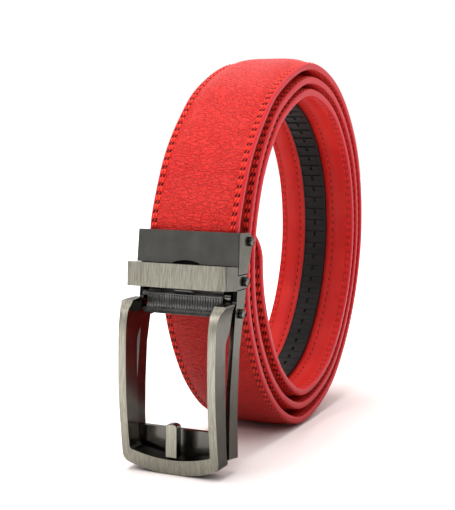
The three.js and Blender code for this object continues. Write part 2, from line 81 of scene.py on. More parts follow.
# Buckle
gap = 0.3
buckle_height = 86.2
plate_height = 12.0
side_thickness = 1.6
rail_reach = 19.0
clamp_rear = 12.1
keeper_height = 8.6
keeper_rise = 0.9
keeper_corner = 2.3
keeper_roll = 0.8
keeper_roll_run = 3.9
keeper_roll_cuts = 6
pin_radius = 1.2
rivet_radius = 1.75
rivet_height = 0.9
frame_below_keeper = 4.8
frame_pin_drop = 4.76
lever_pin_drop = 11.02
frame_reach = 13.6
frame_stand_off = 16.6
arm_inset = 0.5
arm_width = 3.0
head_outward = 1.5
head_height = 8.5
bar_height = 5.8
bar_sag = 4.2
frame_corner = 2.1
lever_width = 29.8
lever_drop = 6.6
lever_reach = 5.4
rib_pitch = 1.02
rib_width = 0.5
rib_rise = 0.35
ear_thickness = 1.5
eye_wall = 1.3

# Rounding of the metal edges
frame_round = 0.5
prong_round = 0.4
housing_round = 0.25
plate_round = 0.2
keeper_round = 0.16
flap_round = 0.15
rib_round = 0.14
lever_round = 0.12
stop_round = 0.1

# Making
route_steps = 40
strap_step = 2.0
tip_steps = 14
same_point = 0.00001

# Radius of each layer's edge line round the coil, as shares of coil_radius, and
# the rise of the padded panel, as shares of panel_rise.
coil_table = [
    # turn, first, second, third
    (0, 0.986, 0.839, 0.777),
    (0.033, 0.977, 0.834, 0.776),
    (0.083, 0.957, 0.838, 0.780),
    (0.125, 0.945, 0.848, 0.789),
    (0.167, 0.949, 0.862, 0.802),
    (0.25, 0.975, 0.901, 0.836),
    (0.333, 0.991, 0.917, 0.840),
    (0.417, 1.000, 0.919, 0.833),
    (0.5, 0.983, 0.901, 0.818),
    (0.583, 0.961, 0.888, 0.815),
    (0.667, 0.971, 0.904, 0.833),
    (0.75, 0.975, 0.897, 0.827),
    (0.806, 0.940, 0.862, 0.771),
    (0.861, 0.898, 0.822, 0.717),
    (0.917, 0.869, 0.798, 0.681),
    (0.958, 0.860, 0.786, 0.678),
]
tail_table = [(3, 0.676), (3.045, 0.681)]
rise_table = [(0, 0.55), (0.03, 0.55), (0.1, 1), (0.55, 1), (0.7, 0.6), (9, 0.6)]

# Front frame seen from the side, as shares of frame_reach and frame_height.
frame_front = [
    (0.62, 0.992), (0.74, 0.968), (0.87, 0.942), (0.96, 0.887), (1.00, 0.806),
    (0.985, 0.484), (0.82, 0.194), (0.70, 0.055), (0.62, 0.0),
]
frame_back = [
    (0.06, 0.0), (0.03, 0.035), (0.06, 0.068), (0.18, 0.1), (0.32, 0.35), (0.39, 0.645), (0.37, 0.773),
    (0.24, 0.815), (0.12, 0.85), (0.07, 0.903), (0.08, 1.0),
]
# Lever seen from the side, in shares of its reach in front of the pin and its drop.
lever_front = [(0.42, 0.06), (0.43, -0.22), (0.50, -0.50), (0.68, -0.78), (1.00, -0.96)]
lever_back = [(0.93, -1.00), (0.52, -0.86), (0.18, -0.62), (-0.34, -0.30)]
lever_land = [(-0.20, 0.30), (0.16, 0.31), (0.24, 0.06)]
# Small stops on the lever's land: from x, to x, height.
stop_table = [(-9.25, -6.5, 1.15), (-4.2, 2.8, 0.5), (8.7, 11.4, 1.3)]
# One tooth of the track: share of the pitch, height there and height in its slot,
# as shares of tooth_height.
tooth_table = [
    (0.0, 0.42, 0.42), (0.035, 0.92, 0.92), (0.065, 1.0, 1.0), (0.08, 1.0, 0.15), (0.43, 0.9, 0.15),
    (0.44, 0.88, 0.88), (0.5, 0.82, 0.82), (0.53, 0.66, 0.66), (0.965, 0.5, 0.5), (0.985, 0.42, 0.42),
]
# A rivet's dome: each ring's inset and how far it rises.
dome_table = [(0.24, -0.2), (0.16, 0.1), (0.45, 0.1), (0.55, 0.02)]

centre_z = coil_radius * coil_table[11][1] + panel_rise * rise_table[4][1]
panel_face = coil_radius * coil_table[0][1] + panel_rise * rise_table[0][1]
side_inner = strap_width / 2 + gap
side_outer = side_inner + side_thickness
plate_bottom = buckle_height - plate_height
keeper_foot = plate_bottom + gap + keeper_rise - keeper_height
frame_height = keeper_foot - frame_below_keeper
frame_half_width = side_outer - arm_inset


# Strap route


def through(points, per_span):
    """Points along a centripetal Catmull-Rom curve through the given (y, z) points."""
    found = []
    for k in range(len(points) - 1):
        p1, p2 = points[k], points[k + 1]
        p0 = points[k - 1] if k > 0 else 2 * p1 - p2
        p3 = points[k + 2] if k + 2 < len(points) else 2 * p2 - p1
        d0, d1, d2 = ((b - a).length ** 0.5 for a, b in ((p0, p1), (p1, p2), (p2, p3)))
        t1 = ((p1 - p0) / d0 - (p2 - p0) / (d0 + d1) + (p2 - p1) / d1) * d1
        t2 = ((p2 - p1) / d1 - (p3 - p1) / (d1 + d2) + (p3 - p2) / d2) * d1
        for step in range(per_span):
            t = step / per_span
            found.append(
                p1 + t1 * t + (3 * (p2 - p1) - 2 * t1 - t2) * t ** 2 + (2 * (p1 - p2) + t1 + t2) * t ** 3
            )
    return found + [points[-1]]


def strap_route():
    def lean(z):
        return -coil_radius * coil_table[0][1] + clamp_lean * (z - centre_z)

    def polar(turn, radius):
        angle = math.pi * (1 - 2 * turn)
        return Vector((radius * math.cos(angle), centre_z + radius * math.sin(angle)))

    start_z = plate_bottom - end_below_plate
    points = [Vector((lean(start_z), start_z)), Vector((lean(buckle_height), buckle_height))]
    for layer in range(3):
        for row in coil_table:
            point = polar(layer + row[0], coil_radius * row[layer + 1])
            in_clamp = layer == 0 and row[0] < 0.25 and point.y < buckle_height + clamp_run
            if not in_clamp:
                points.append(point)
    points += [polar(turn, coil_radius * share) for turn, share in tail_table]
    return through(points, route_steps)


route = strap_route()
distances = [0.0]
for here, after in zip(route, route[1:]):
    distances.append(distances[-1] + (after - here).length)
route_length = distances[-1]


def station(distance):
    """(point, outward direction) in the YZ plane at a distance from the clamp."""
    distance = min(max(distance, 0.0), route_length - 1e-6)
    low, high = 0, len(distances) - 1
    while high - low > 1:
        middle = (low + high) // 2
        low, high = (middle, high) if distances[middle] <= distance else (low, middle)
    share = (distance - distances[low]) / (distances[high] - distances[low])
    before = (route[low] - route[max(low - 1, 0)]).normalized() if low else (route[1] - route[0]).normalized()
    tangent = before.lerp((route[high] - route[low]).normalized(), 0.5 + share / 2).normalized()
    return route[low].lerp(route[high], share), Vector((-tangent.y, tangent.x))


# The origin is under the middle of the whole belt, so the coil's own axis lies a
# little behind it.
y_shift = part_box("strap")[1].y / MM - max(
    station(route_length * k / 900)[0].x for k in range(900)
) - panel_rise
rear_y = -panel_face + clamp_rear + y_shift


def place(distance, x, out):
    point, outward = station(distance)
    return (x * MM, (point.x + outward.x * out + y_shift) * MM, (point.y + outward.y * out) * MM)


def rise_at(turn):
    for (a, low), (b, high) in zip(rise_table, rise_table[1:]):
        if turn < b:
            return panel_rise * (low + (high - low) * (turn - a) / (b - a))


def panel_out(x, half, rise):
    """How far the outer face stands out at x: flat stitched borders round a crowned panel."""
    inside = panel_half * half / (strap_width / 2)
    if abs(x) >= inside:
        return 0.0
    return rise * (1 - (abs(x) / inside) ** 4.6)


def mesh_piece(name, vertices, faces):
    mesh = bpy.data.meshes.new(name)
    mesh.from_pydata(vertices, [], faces)
    mesh.validate()
    piece = bpy.data.objects.new(name, mesh)
    bpy.context.scene.collection.objects.link(piece)
    return piece


def pick(piece):
    bpy.ops.object.select_all(action="DESELECT")
    piece.select_set(True)
    bpy.context.view_layer.objects.active = piece


def turn_outwards(piece):
    """The faces of a closed piece all come to point out of it."""
    pick(piece)
    bpy.ops.object.mode_set(mode="EDIT")
    bpy.ops.mesh.select_all(action="SELECT")
    bpy.ops.mesh.normals_make_consistent(inside=False)
    bpy.ops.object.mode_set(mode="OBJECT")


def strap():
    """The whole strap as one skin, with a named place on it for the leather's pattern."""
    half = strap_width / 2
    # x share of the half width, and out: None follows the panel's crown
    section = [(s, -strap_edge) for s in (0.0, 0.12, 0.25, 0.37, 0.44, 0.457, 0.474, 0.6, 0.72, 0.83)]
    section += [(0.85, -strap_edge), (0.866, -strap_edge + lining_groove), (0.883, -strap_edge)]
    section += [(0.925, -strap_edge), (0.94, -strap_edge + lining_groove), (0.957, -strap_edge)]
    section += [(0.978, -strap_edge + 0.06), (0.994, -strap_edge + 0.32), (1.0, -strap_edge + 0.7)]
    section += [(1.0, -1.35), (1.0, -0.7), (0.994, -0.32), (0.978, -0.06)]
    section += [(0.957, 0.0), (0.94, -outer_groove), (0.923, 0.0)]
    section += [(0.884, 0.0), (0.866, -outer_groove), (0.85, -0.04)]
    section += [(s, None) for s in (0.8, 0.765, 0.72, 0.66, 0.58, 0.48, 0.36, 0.24, 0.12, 0.0)]
    loop = section + [(-s, out) for s, out in reversed(section[1:-1])]
    stops = []
    steps = int(route_length / strap_step)
    for k in range(steps + 1):
        if route_length * k / steps < route_length - tip_length:
            stops.append(route_length * k / steps)
    for k in range(tip_steps + 1):
        stops.append(route_length - tip_length * (1 - math.sin(math.pi / 2 * k / tip_steps)))
    vertices, marks = [], []
    for distance in stops:
        from_tip = max(route_length - distance, 0.0) / tip_length
        along = min(from_tip, 1.0)
        wide = half * max(math.sqrt(1 - (1 - along) ** 2), 0.2)
        rise = rise_at(distance / (2 * math.pi * coil_radius)) * min(1.0, along * 3)
        for share, out in loop:
            x = share * wide
            level = panel_out(x, wide, rise) if out is None else out
            if out is None or out > outer_low:
                face = 1.0
            elif out < lining_high:
                face = -1.0
            else:
                face = 0.0
            vertices.append(place(distance, x, level))
            marks.append((distance, share * half, face))
    count = len(loop)
    faces = []
    for row in range(len(stops) - 1):
        for k in range(count):
            a, b = row * count + k, row * count + (k + 1) % count
            faces.append((a, a + count, b + count, b))
    faces.append(tuple(range(count)))
    faces.append(tuple(reversed(range((len(stops) - 1) * count, len(stops) * count))))
    piece = mesh_piece("belt_strap", vertices, faces)
    attribute = piece.data.attributes.new("strap_place", "FLOAT_VECTOR", "POINT")
    attribute.data.foreach_set("vector", [value * MM for mark in marks for value in mark])
    turn_outwards(piece)
    bpy.ops.object.shade_smooth_by_angle(angle=math.radians(50))
    return piece


def one_stitch(radius):
    """A thread that dips into the leather at both ends: X across, Y along, Z out of the face."""
    bpy.ops.object.select_all(action="DESELECT")
    bpy.ops.mesh.primitive_uv_sphere_add(segments=6, ring_count=6, radius=1.0)
    bpy.ops.object.mode_set(mode="EDIT")
    bpy.ops.mesh.select_all(action="SELECT")
    bpy.ops.transform.rotate(value=math.pi / 2, orient_axis="X", center_override=(0, 0, 0))
    bpy.ops.transform.resize(value=(radius, stitch_length / 2, radius * 0.7), center_override=(0, 0, 0))
    bpy.ops.object.mode_set(mode="OBJECT")
    stitch = bpy.context.object
    for vertex in stitch.data.vertices:
        share = vertex.co.y / (stitch_length / 2)
        vertex.co.x *= 1 + 0.5 * share ** 2
        vertex.co.z += radius * (0.25 - 1.2 * share ** 2)
    return stitch


def stitches(name, rows, outer, radius):
    """Copies of one stitch along the strap, in rows on both sides of its middle."""
    stitch = one_stitch(radius)
    corners = [vertex.co.copy() for vertex in stitch.data.vertices]
    sides = [tuple(polygon.vertices) for polygon in stitch.data.polygons]
    bpy.data.objects.remove(stitch)
    facing, base = (1, 0.0) if outer else (-1, -strap_edge)
    vertices, faces = [], []
    for index in range(1, int((route_length - tip_length * 0.95) / stitch_pitch)):
        middle = (index + 0.5) * stitch_pitch
        for row in rows:
            for side in (-1, 1):
                start = len(vertices)
                for corner in corners:
                    x = side * (row + corner.x + corner.y * stitch_slant)
                    vertices.append(place(middle + corner.y, x, base + facing * corner.z))
                faces += [tuple(start + k for k in loop) for loop in sides]
    piece = mesh_piece(name, vertices, faces)
    turn_outwards(piece)
    bpy.ops.object.shade_smooth()
    return piece


def track_strip():
    """A moulded strip: smooth rims on both sides of ramped teeth, each with a slot in its middle."""
    inner = -strap_edge - track_seat
    half, rim = track_width / 2, track_width / 2 - track_rim
    base, crest = inner - track_base, inner - track_base - tooth_height
    count = int(track_length / tooth_pitch)
    start = route_length - track_from_tip - count * tooth_pitch

    def ring(distance, tooth, slot):
        """The section there, round from one lower corner over the teeth to the other."""
        level, pit = base - tooth_height * tooth, base - tooth_height * slot
        line = [(half, inner), (half, crest + 0.15), (half - 0.15, crest)]
        line += [(rim + 0.1, crest), (rim, crest + 0.12)]
        line += [(rim - 0.02, level), (slot_half + 0.08, level), (slot_half, pit)]
        return [place(distance, x, out) for x, out in line + [(-x, out) for x, out in reversed(line)]]

    rings = [ring(start - 1, 1.0, 1.0)]
    for tooth in range(count):
        for share, tall, slot in tooth_table:
            rings.append(ring(start + (tooth + share) * tooth_pitch, tall, slot))
    rings.append(ring(start + count * tooth_pitch, 1.0, 1.0))
    size = len(rings[0])
    faces = []
    for row in range(len(rings) - 1):
        for k in range(size):
            a, b = row * size + k, row * size + (k + 1) % size
            faces.append((a, b, b + size, a + size))
    faces.append(tuple(range(size)))
    faces.append(tuple(range(len(rings) * size - 1, (len(rings) - 1) * size - 1, -1)))
    piece = mesh_piece("track_strip", [corner for row in rings for corner in row], faces)
    turn_outwards(piece)
    bpy.ops.object.shade_smooth_by_angle(angle=math.radians(24))
    return piece


# Modelling by hand


def outline_solid(name, points, axis, low, high):
    """A circle's corners are set on the outline's points, then its face is extruded."""
    bpy.ops.object.select_all(action="DESELECT")
    bpy.ops.mesh.primitive_circle_add(vertices=len(points), radius=MM, fill_type="NGON")
    piece = bpy.context.object
    piece.name = name
    for vertex, (a, b) in zip(piece.data.vertices, points):
        vertex.co = Vector((low, a, b) if axis == "X" else (a, low, b) if axis == "Y" else (a, b, low)) * MM
    along = Vector((1, 0, 0) if axis == "X" else (0, 1, 0) if axis == "Y" else (0, 0, 1))
    bpy.ops.object.mode_set(mode="EDIT")
    bpy.ops.mesh.select_all(action="SELECT")
    bpy.ops.mesh.extrude_region_move(TRANSFORM_OT_translate={"value": along * (high - low) * MM})
    bpy.ops.object.mode_set(mode="OBJECT")
    turn_outwards(piece)
    return piece


def block(name, x0, x1, y0, y1, z0, z1):
    return outline_solid(name, [(y0, z0), (y1, z0), (y1, z1), (y0, z1)], "X", x0, x1)


def rod(name, radius, x0, x1, y, z, corners=48):
    bpy.ops.object.select_all(action="DESELECT")
    bpy.ops.mesh.primitive_cylinder_add(vertices=corners, radius=radius * MM, depth=(x1 - x0) * MM)
    piece = bpy.context.object
    piece.name = name
    piece.data.transform(
        Matrix.Translation(Vector(((x0 + x1) / 2, y, z)) * MM) @ Matrix.Rotation(math.pi / 2, 4, "Y")
    )
    return piece


def combine(piece, other, operation):
    pick(piece)
    modifier = piece.modifiers.new("shape", "BOOLEAN")
    modifier.operation = operation
    modifier.solver = "EXACT"
    modifier.object = other
    bpy.ops.object.modifier_apply(modifier=modifier.name)
    bpy.data.objects.remove(other)
    return piece


def rounded(piece, width, segments=3):
    """Flat faces are joined, sharp edges rounded and the rest shaded smooth."""
    pick(piece)
    bpy.ops.object.mode_set(mode="EDIT")
    bpy.ops.mesh.select_all(action="SELECT")
    bpy.ops.mesh.remove_doubles(threshold=same_point)
    bpy.ops.mesh.dissolve_limited(angle_limit=math.radians(0.6))
    bpy.ops.object.mode_set(mode="OBJECT")
    modifier = piece.modifiers.new("round", "BEVEL")
    modifier.width = width * MM
    modifier.segments = segments
    modifier.limit_method = "ANGLE"
    modifier.angle_limit = math.radians(28)
    bpy.ops.object.modifier_apply(modifier=modifier.name)
    return calm(piece, 32)


def calm(piece, angle):
    """Smooth shading that leaves the large flat faces flat."""
    pick(piece)
    bpy.ops.object.shade_smooth_by_angle(angle=math.radians(angle))
    modifier = piece.modifiers.new("flat_faces", "WEIGHTED_NORMAL")
    modifier.keep_sharp = True
    modifier.weight = 100
    bpy.ops.object.modifier_apply(modifier=modifier.name)
    return piece


def copy_of(node, name):
    """A merged copy of a CAD solid, to be rounded."""
    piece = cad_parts[node].copy()
    piece.data = piece.data.copy()
    piece.name = name
    piece.parent = None
    for key in list(piece.keys()):
        del piece[key]
    bpy.context.scene.collection.objects.link(piece)
    pick(piece)
    bpy.ops.object.mode_set(mode="EDIT")
    bpy.ops.mesh.select_all(action="SELECT")
    bpy.ops.mesh.remove_doubles(threshold=same_point)
    bpy.ops.object.mode_set(mode="OBJECT")
    return piece


def shares(table, rear, reach, low, height):
    return [Vector((rear - forward * reach, low + up * height)) for forward, up in table]


def smooth(points, per_span=6):
    return [(p.x, p.y) for p in through(points, per_span)]


def bezier(a, b, c, steps=10):
    return [
        tuple((1 - t) ** 2 * a[k] + 2 * t * (1 - t) * b[k] + t ** 2 * c[k] for k in (0, 1))
        for t in (step / steps for step in range(1, steps + 1))
    ]


frame_pin = (rear_y - 0.535 * rail_reach, frame_height - frame_pin_drop)
lever_pin = (rear_y - 0.725 * rail_reach, plate_bottom - lever_pin_drop)
frame_rear = rear_y - frame_stand_off
keeper_front_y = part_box("keeper_bar")[0].y / MM


def arm_top(side, half, inner):
    """One arm's flaring head seen from the front, from its outer foot over the top to its inner side."""
    foot, out, turn = frame_height - head_height, head_outward, 2.2
    points = [(half, foot)] + bezier((half, foot), (half + out * 0.02, foot + 0.62 * head_height),
                                     (half + out, frame_height - turn * 0.45), 12)
    points += bezier(points[-1], (half + out, frame_height), (half + out - turn, frame_height), 6)
    points += [(inner + 0.9, frame_height)]
    points += bezier(points[-1], (inner, frame_height), (inner, frame_height - 0.9), 4)
    return [(side * x, z) for x, z in points]


def front_frame():
    """The frame's side view cut to its front view, then an ear with a bore at each side."""
    half, inner = frame_half_width, frame_half_width - arm_width
    sag, high = bar_sag, bar_height
    front = smooth(shares(frame_front, frame_rear, frame_reach, 0, frame_height))
    back = smooth(shares(frame_back, frame_rear, frame_reach, 0, frame_height))
    body = outline_solid("open_frame", front + back, "X", -half - head_outward - 1, half + head_outward + 1)
    window = [(inner, high + sag * 0.8)]
    window += bezier(window[-1], (inner, high + sag * 0.55), (inner - 1.5, high + sag * 0.5), 5)
    window += bezier(window[-1], (0, high - sag * 0.5), (-inner + 1.5, high + sag * 0.5), 24)
    window += bezier(window[-1], (-inner, high + sag * 0.55), (-inner, high + sag * 0.8), 5)
    foot = [(-half, sag + frame_corner)]
    foot += bezier(foot[-1], (-half, sag * 0.95), (-half + frame_corner, sag * 0.72), 6)
    foot += bezier(foot[-1], (0, -sag * 0.72), (half - frame_corner, sag * 0.72), 24)
    foot += bezier(foot[-1], (half, sag * 0.95), (half, sag + frame_corner), 6)
    view = arm_top(1, half, inner) + window + arm_top(-1, half, inner)[::-1] + foot
    face = outline_solid("face", view, "Y", frame_rear - frame_reach - 1, frame_rear + 1)
    body = combine(body, face, "INTERSECT")
    for side in (-1, 1):
        outer_x = side * (side_inner - gap)
        inner_x = outer_x - side * ear_thickness
        low, high_x = min(outer_x, inner_x), max(outer_x, inner_x)
        eye = pin_radius + eye_wall
        ear = [
            (frame_rear - 2, frame_pin[1] - 2.2), (frame_pin[0], frame_pin[1] - eye),
            (frame_pin[0], frame_pin[1] + eye), (frame_rear - 2, frame_pin[1] + 2.8),
        ]
        body = combine(body, outline_solid("ear", ear, "X", low, high_x), "UNION")
        body = combine(body, rod("eye", eye, low, high_x, *frame_pin), "UNION")
        body = combine(body, rod("bore", pin_radius + gap, low - 1, high_x + 1, *frame_pin), "DIFFERENCE")
    return rounded(body, frame_round)


def keeper_bar():
    """The front rolls gently back towards both ends."""
    bar = rounded(copy_of("keeper_bar", "keeper"), keeper_round)
    half = max(vertex.co.x for vertex in bar.data.vertices) / MM
    front = min(vertex.co.y for vertex in bar.data.vertices) / MM
    pick(bar)
    bpy.ops.object.mode_set(mode="EDIT")
    for side in (-1, 1):
        for cut in range(keeper_roll_cuts):
            bpy.ops.mesh.select_all(action="SELECT")
            at = side * (half - keeper_roll_run * (1 - cut / keeper_roll_cuts))
            bpy.ops.mesh.bisect(plane_co=(at * MM, 0, 0), plane_no=(1, 0, 0))
    bpy.ops.object.mode_set(mode="OBJECT")
    for vertex in bar.data.vertices:
        share = (abs(vertex.co.x) / MM - half) / keeper_roll_run + 1
        if share > 0 and vertex.co.y < (front + 2.2) * MM:
            vertex.co.y += keeper_roll * share ** 2 * MM
    return calm(bar, 32)


def rivet(name, x, side, y, z):
    """A domed rivet head with a turned rim."""
    piece = rod(name, rivet_radius, min(0, side * rivet_height), max(0, side * rivet_height), 0, 0, 40)
    pick(piece)
    bpy.ops.object.mode_set(mode="EDIT")
    bpy.ops.mesh.select_mode(type="FACE")
    bpy.ops.mesh.select_all(action="DESELECT")
    bpy.ops.object.mode_set(mode="OBJECT")
    for polygon in piece.data.polygons:
        polygon.select = polygon.normal.x * side > 0.9
    bpy.ops.object.mode_set(mode="EDIT")
    for inset, rise in dome_table:
        bpy.ops.mesh.inset(thickness=inset * MM)
        bpy.ops.transform.translate(value=(side * rise * MM, 0, 0))
    bpy.ops.object.mode_set(mode="OBJECT")
    piece.data.transform(Matrix.Translation(Vector((x, y, z)) * MM))
    bpy.ops.object.shade_smooth_by_angle(angle=math.radians(40))
    return piece


def headed_pin(name, node, sides):
    """A round pin on the CAD pin's own axis with a rivet head at each given side."""
    low, high = (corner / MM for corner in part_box(node))
    y, z = (low.y + high.y) / 2, (low.z + high.z) / 2
    reach = side_outer + gap
    ends = (-reach if -1 in sides else side_inner, reach if 1 in sides else -side_inner)
    piece = rod(name, pin_radius, *ends, y, z, 40)
    for side in sides:
        piece = combine(piece, rivet(name + "_head", side * (reach - 0.02), side, y, z), "UNION")
    pick(piece)
    bpy.ops.object.shade_smooth_by_angle(angle=math.radians(40))
    return piece


def ribbed_lever():
    """A flared plate with fine upright ribs and three small stops on its upper land."""
    def side_view(table):
        return [Vector((lever_pin[0] - f * lever_reach, lever_pin[1] + up * lever_drop)) for f, up in table]

    half = lever_width / 2
    front = smooth(side_view(lever_front), 5)
    back = smooth(side_view(lever_back), 3)
    land = side_view(lever_land)
    body = outline_solid("lever", [tuple(p) for p in land] + front + back, "X", -half, half)
    body = rounded(body, lever_round, 2)
    count = int((lever_width - 0.9) / rib_pitch)
    rib_front = [(y - rib_rise, z) for y, z in front[1:-1]]
    rib_back = [(y + 0.3, z) for y, z in front[1:-1]]
    rib = outline_solid("rib", rib_front + rib_back[::-1], "X", -rib_width / 2, rib_width / 2)
    rib = rounded(rib, rib_round, 2)
    ribs = []
    for k in range(count + 1):
        copy = rib.copy()
        copy.data = rib.data.copy()
        copy.data.transform(Matrix.Translation(Vector(((k - count / 2) * rib_pitch * MM, 0, 0))))
        bpy.context.scene.collection.objects.link(copy)
        ribs.append(copy)
    bpy.data.objects.remove(rib)
    top = lever_pin[1] + lever_land[0][1] * lever_drop
    for x0, x1, tall in stop_table:
        stop = block("stop", x0, x1, lever_pin[0] - 0.42 * lever_reach, lever_pin[0], top - tall, top)
        ribs.append(rounded(stop, stop_round, 2))
    bpy.ops.object.select_all(action="DESELECT")
    for copy in ribs:
        copy.select_set(True)
    body.select_set(True)
    bpy.context.view_layer.objects.active = body
    bpy.ops.object.join()
    bore = rod("bore", pin_radius + gap, -half - 1, half + 1, *lever_pin)
    body = combine(body, bore, "DIFFERENCE")
    bpy.ops.object.shade_smooth_by_angle(angle=math.radians(35))
    return body


# Materials


class Value:
    """A socket. Arithmetic on it adds the Math nodes."""

    def __init__(self, paint, socket):
        self.paint, self.socket = paint, socket

    def maths(self, operation, other, swap=False):
        pair = (other, self) if swap else (self, other)
        return self.paint.node("Math", {"operation": operation}, {0: pair[0], 1: pair[1]})

    def __add__(self, other):
        return self.maths("ADD", other)

    def __radd__(self, other):
        return self.maths("ADD", other)

    def __sub__(self, other):
        return self.maths("SUBTRACT", other)

    def __rsub__(self, other):
        return self.maths("SUBTRACT", other, True)

    def __mul__(self, other):
        return self.maths("MULTIPLY", other)

    def __rmul__(self, other):
        return self.maths("MULTIPLY", other)

    def __truediv__(self, other):
        return self.maths("DIVIDE", other)

    def __pow__(self, other):
        return self.maths("POWER", other)

    def less(self, other):
        return self.maths("LESS_THAN", other)

    def more(self, other):
        return self.maths("GREATER_THAN", other)

    def largest(self, other):
        return self.maths("MAXIMUM", other)

    def size(self):
        return self.maths("ABSOLUTE", 0)

    def remainder(self, other):
        return self.maths("FLOORED_MODULO", other)

    def ramp(self, low, high, to_low=0.0, to_high=1.0):
        values = {"From Min": low, "From Max": high, "To Min": to_low, "To Max": to_high}
        return self.paint.node("MapRange", {"interpolation_type": "SMOOTHSTEP"}, {"Value": self, **values})


class Paint:
    """A material and its one shader."""

    def __init__(self, name, **constants):
        self.material = bpy.data.materials.new(name)
        self.material.use_nodes = True
        self.tree = self.material.node_tree
        self.shader = self.tree.nodes["Principled BSDF"]
        for socket, value in constants.items():
            self.shader.inputs[socket.replace("_", " ")].default_value = value

    def node(self, kind, settings=None, inputs=None, output=0):
        made = self.tree.nodes.new("ShaderNode" + kind)
        for key, value in (settings or {}).items():
            setattr(made, key, value)
        for key, value in (inputs or {}).items():
            if isinstance(value, Value):
                self.tree.links.new(value.socket, made.inputs[key])
            else:
                made.inputs[key].default_value = value
        return Value(self, made.outputs[output])

    def colour(self, factor, a, b):
        made = self.tree.nodes.new("ShaderNodeMix")
        made.data_type = "RGBA"
        for socket, value in ((made.inputs[0], factor), (made.inputs[6], a), (made.inputs[7], b)):
            if isinstance(value, Value):
                self.tree.links.new(value.socket, socket)
            else:
                socket.default_value = value
        return Value(self, made.outputs[2])

    def scaled(self, vector, scale):
        return self.node("VectorMath", {"operation": "MULTIPLY"}, {0: vector, 1: scale})

    def parts(self, vector):
        made = self.node("SeparateXYZ", {}, {0: vector})
        return [Value(self, made.socket.node.outputs[k]) for k in range(3)]

    def noise(self, vector, scale, detail=2.0, rough=0.5):
        values = {"Scale": scale, "Detail": detail, "Roughness": rough}
        return self.node("TexNoise", {}, {"Vector": vector, **values})

    def place(self):
        return self.node("TexCoord", {}, {}, 3)

    def feed(self, socket, value):
        self.tree.links.new(value.socket, self.shader.inputs[socket])

    def bump(self, height, strength, distance):
        made = self.node("Bump", {}, {"Height": height, "Strength": strength, "Distance": distance})
        self.feed("Normal", made)


